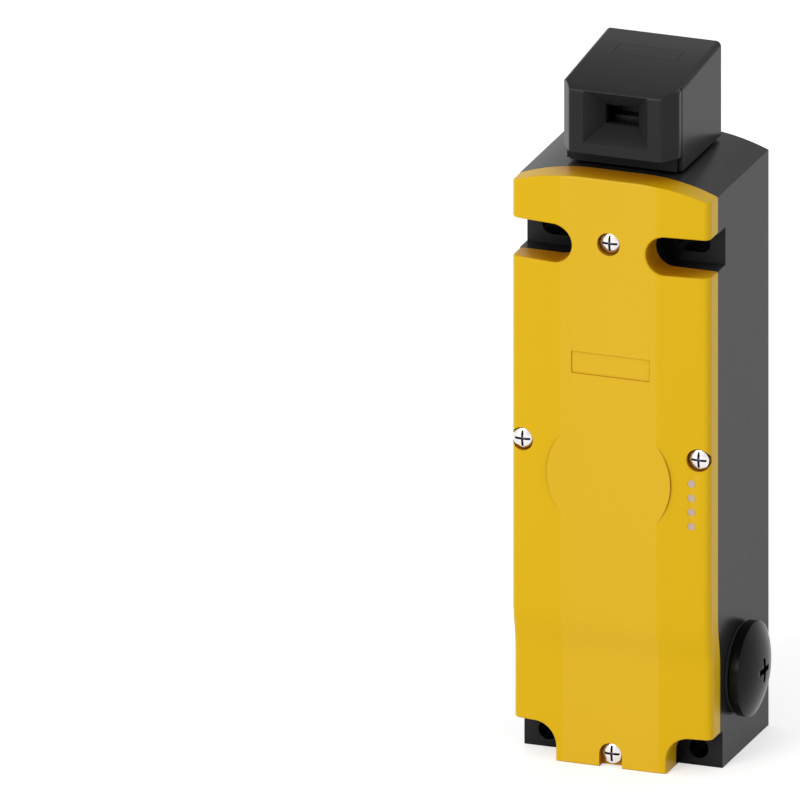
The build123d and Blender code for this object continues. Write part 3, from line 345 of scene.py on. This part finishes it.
def wound(name):
    """Copper wire in close turns under clear tape."""
    material, tree, shader = material_with(name)
    shader.inputs["Metallic"].default_value = 0.4
    wave = tree.nodes.new("ShaderNodeTexWave")
    wave.bands_direction = "Z"
    wave.inputs["Scale"].default_value = 700.0
    wave.inputs["Distortion"].default_value = 0.4
    tree.links.new(place_socket(tree), wave.inputs["Vector"])
    turns = wave.outputs["Fac"]
    hue = blend_colours(tree, turns, (0.16, 0.05, 0.015), (0.48, 0.2, 0.07))
    sheen = spread(tree, noise(tree, 400.0), low=0.22, high=0.36)
    finish_surface(tree, shader, hue, sheen, bump(tree, turns, depth=0.00008))
    return material


def board(name):
    """Green solder resist over copper tracks."""
    material, tree, shader = material_with(name)
    tracks = tree.nodes.new("ShaderNodeTexBrick")
    tracks.inputs["Scale"].default_value = 300.0
    tracks.inputs["Mortar Size"].default_value = 0.06
    tracks.inputs["Color1"].default_value = (0.012, 0.13, 0.045, 1)
    tracks.inputs["Color2"].default_value = (0.014, 0.15, 0.05, 1)
    tracks.inputs["Mortar"].default_value = (0.05, 0.3, 0.1, 1)
    tree.links.new(place_socket(tree), tracks.inputs["Vector"])
    sheen = spread(tree, noise(tree, gloss_patches), low=0.22, high=0.4)
    relief = bump(tree, tracks.outputs["Fac"], depth=0.00003)
    finish_surface(tree, shader, tracks.outputs["Color"], sheen, relief)
    return material


def lamp(name):
    """Frosted end of a clear light guide over an unlit diode."""
    material, tree, shader = material_with(name)
    shader.inputs["Coat Weight"].default_value = 0.4
    cloud = spread(tree, noise(tree, 900.0))
    hue = blend_colours(tree, cloud, (0.52, 0.36, 0.28), (0.62, 0.45, 0.36))
    sheen = spread(tree, noise(tree, 1500.0), low=0.2, high=0.35)
    finish_surface(tree, shader, hue, sheen, bump(tree, noise(tree, 2500.0), depth=0.00001))
    return material


# The surface of each material slot in the record
surfaces = {
    "housing_black": moulded("housing_black", (0.026, 0.026, 0.0275), roughness=0.26,
                             shine=0.085, painted_shade_reach=0.016),
    "head_black": head_plastic("head_black", (0.026, 0.026, 0.0272)),
    "cover_yellow": cover_plastic("cover_yellow"),
    "plug_black": moulded("plug_black", (0.004, 0.004, 0.0044), roughness=0.24, shine=0.1),
    "seal_rubber": moulded("seal_rubber", (0.012, 0.012, 0.012), roughness=0.7, grain=1800.0,
                           grain_depth=0.00001),
    "screw_nickel": plated_screw("screw_nickel"),
    "lamp_clear": lamp("lamp_clear"),
    "cam_grey": metal("cam_grey", (0.035, 0.035, 0.037), roughness=0.5),
    "steel": metal("steel", (0.6, 0.6, 0.6), roughness=0.3, stretch=(1, 1, 0.1)),
    "inner_grey": moulded("inner_grey", (0.4, 0.4, 0.38), roughness=0.5),
    "contact_brass": metal("contact_brass", (0.75, 0.53, 0.24), roughness=0.26),
    "winding_tape": wound("winding_tape"),
    "board_green": board("board_green"),
    "diode_white": moulded("diode_white", (0.78, 0.76, 0.66), roughness=0.3),
}


def dress_nodes():
    """Give every node the surface of its material slot."""
    for entry in frame["record"]["subparts"]:
        node = frame["nodes"][entry["node"]]
        node.data.materials.clear()
        node.data.materials.append(surfaces[entry["material_slot"]])
        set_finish(node, entry["material_slot"])


def box_object(name, low, high):
    """A plain box between two corners."""
    shape = bmesh.new()
    bmesh.ops.create_cube(shape, size=1.0)
    for vertex in shape.verts:
        vertex.co = Vector(high[i] if vertex.co[i] > 0 else low[i] for i in range(3))
    mesh = bpy.data.meshes.new(name)
    shape.to_mesh(mesh)
    shape.free()
    block = bpy.data.objects.new(name, mesh)
    bpy.context.scene.collection.objects.link(block)
    return block


def sink_field(mesh, place):
    """Weld a copy of the cover's mesh and move its name field from raised to sunk."""
    back = place.inverted()
    shape = bmesh.new()
    shape.from_mesh(mesh)
    bmesh.ops.remove_doubles(shape, verts=shape.verts, dist=weld_reach)
    for vertex in shape.verts:
        corner = place @ vertex.co
        if corner.y < cad_box[0].y + field_rise / 2:
            corner.y += field_rise + field_sink
            vertex.co = back @ corner
    shape.to_mesh(mesh)
    shape.free()


def open_recess(shell):
    """Cut the web below the lowest screw's recess out of the cover."""
    low = (-recess_half_width, cad_box[0].y - cut_overshoot, floor_z - cut_overshoot)
    high = (recess_half_width, recess_seat_y, recess_middle_z)
    opening = box_object("opening", low, high)
    cut = shell.modifiers.new("cut", "BOOLEAN")
    cut.operation = "DIFFERENCE"
    cut.solver = "EXACT"
    cut.object = opening
    seen = shell.evaluated_get(bpy.context.evaluated_depsgraph_get())
    shell.data = bpy.data.meshes.new_from_object(seen)
    shell.modifiers.clear()
    bpy.data.objects.remove(opening)


def reshape_cover():
    """The cover with its lowest screw recess open at the foot and its name field sunk."""
    node = frame["nodes"]["front_cover"]
    mesh = node.data.copy()
    sink_field(mesh, node.matrix_world)
    shell = bpy.data.objects.new("cover_shell", mesh)
    shell.matrix_world = node.matrix_world
    bpy.context.scene.collection.objects.link(shell)
    open_recess(shell)
    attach(shell, "cover")
    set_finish(shell, node["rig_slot"])
    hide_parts("front_cover")
    return shell


def soften(piece, width):
    """Weld a piece's facets, break its sharp edges and smooth its shading."""
    weld = piece.modifiers.new("weld", "WELD")
    weld.merge_threshold = weld_reach
    edge = piece.modifiers.new("edge", "BEVEL")
    edge.width = width
    edge.segments = edge_segments
    edge.limit_method = "ANGLE"
    edge.angle_limit = sharp_angle
    edge.miter_outer = "MITER_ARC"
    normals = piece.modifiers.new("normals", "WEIGHTED_NORMAL")
    normals.keep_sharp = False
    for polygon in piece.data.polygons:
        polygon.use_smooth = True


def seen_or_reflected(tree):
    """1 for what the camera sees itself, in a reflection or through a clear piece."""
    path = tree.nodes.new("ShaderNodeLightPath")
    direct = calculate(tree, "MAXIMUM", path.outputs["Is Camera Ray"], path.outputs["Is Glossy Ray"])
    return calculate(tree, "MAXIMUM", direct, path.outputs["Is Transmission Ray"])


def floor_material():
    """Pale floor that shows white to the camera and keeps the object's shadow."""
    material, tree, shader = material_with("floor")
    speckle = spread(tree, noise(tree, 40.0))
    hue = blend_colours(tree, speckle, (0.74, 0.74, 0.74), (0.76, 0.76, 0.76))
    tree.links.new(hue, shader.inputs["Base Color"])
    shader.inputs["Roughness"].default_value = floor_roughness
    glow = tree.nodes.new("ShaderNodeEmission")
    level = calculate(tree, "MULTIPLY", seen_or_reflected(tree), floor_glow)
    tree.links.new(level, glow.inputs["Strength"])
    both = tree.nodes.new("ShaderNodeAddShader")
    tree.links.new(shader.outputs["BSDF"], both.inputs[0])
    tree.links.new(glow.outputs["Emission"], both.inputs[1])
    tree.links.new(both.outputs["Shader"], tree.nodes["Material Output"].inputs["Surface"])
    return material


def make_floor():
    """A wide plain floor under the switch."""
    mesh = bpy.data.meshes.new("floor")
    signs = [(-1, -1), (1, -1), (1, 1), (-1, 1)]
    corners = [(x * floor_half, y * floor_half, floor_z) for x, y in signs]
    mesh.from_pydata(corners, [], [(0, 1, 2, 3)])
    floor = bpy.data.objects.new("floor", mesh)
    bpy.context.scene.collection.objects.link(floor)
    mesh.materials.append(floor_material())


def make_world():
    """Soft even light from all round, white where the camera or a reflection sees it."""
    world = bpy.data.worlds.new("studio")
    world.use_nodes = True
    bpy.context.scene.world = world
    tree = world.node_tree
    background = tree.nodes["Background"]
    background.inputs["Color"].default_value = (1, 1, 1, 1)
    level = tree.nodes.new("ShaderNodeMapRange")
    level.inputs["To Min"].default_value = surroundings_light
    level.inputs["To Max"].default_value = surroundings_seen
    tree.links.new(seen_or_reflected(tree), level.inputs["Value"])
    tree.links.new(level.outputs["Result"], background.inputs["Strength"])


def make_key_light():
    """A square soft box that faces the middle of the switch."""
    light = bpy.data.lights.new("key", "AREA")
    light.shape = "SQUARE"
    light.size = key_size
    light.energy = key_power
    holder = bpy.data.objects.new("key", light)
    holder.location = key_place
    aim = Vector((0, 0, middle_z)) - Vector(key_place)
    holder.rotation_euler = aim.to_track_quat("-Z", "Y").to_euler()
    bpy.context.scene.collection.objects.link(holder)


def make_camera():
    """Camera with the photograph's parallel view and framing."""
    back = Vector((math.sin(view_azimuth) * math.cos(view_elevation),
                   -math.cos(view_azimuth) * math.cos(view_elevation),
                   math.sin(view_elevation)))
    right = Vector((math.cos(view_azimuth), math.sin(view_azimuth), 0))
    up = back.cross(right)
    aim = Vector((0, 0, floor_z)) + right * aim_right + up * aim_up
    camera = bpy.data.cameras.new("camera")
    camera.type = "ORTHO"
    camera.ortho_scale = view_width
    holder = bpy.data.objects.new("camera", camera)
    holder.location = aim + back * camera_distance
    holder.rotation_mode = "QUATERNION"
    holder.rotation_quaternion = (-back).to_track_quat("-Z", "Y")
    bpy.context.scene.collection.objects.link(holder)
    bpy.context.scene.camera = holder


make_camera()
dress_nodes()
soften(reshape_cover(), cover_edge_width)
for name, width in edge_widths.items():
    soften(frame["nodes"][name], width)
make_floor()
make_world()
make_key_light()

bpy.context.scene.view_settings.view_transform = "Standard"
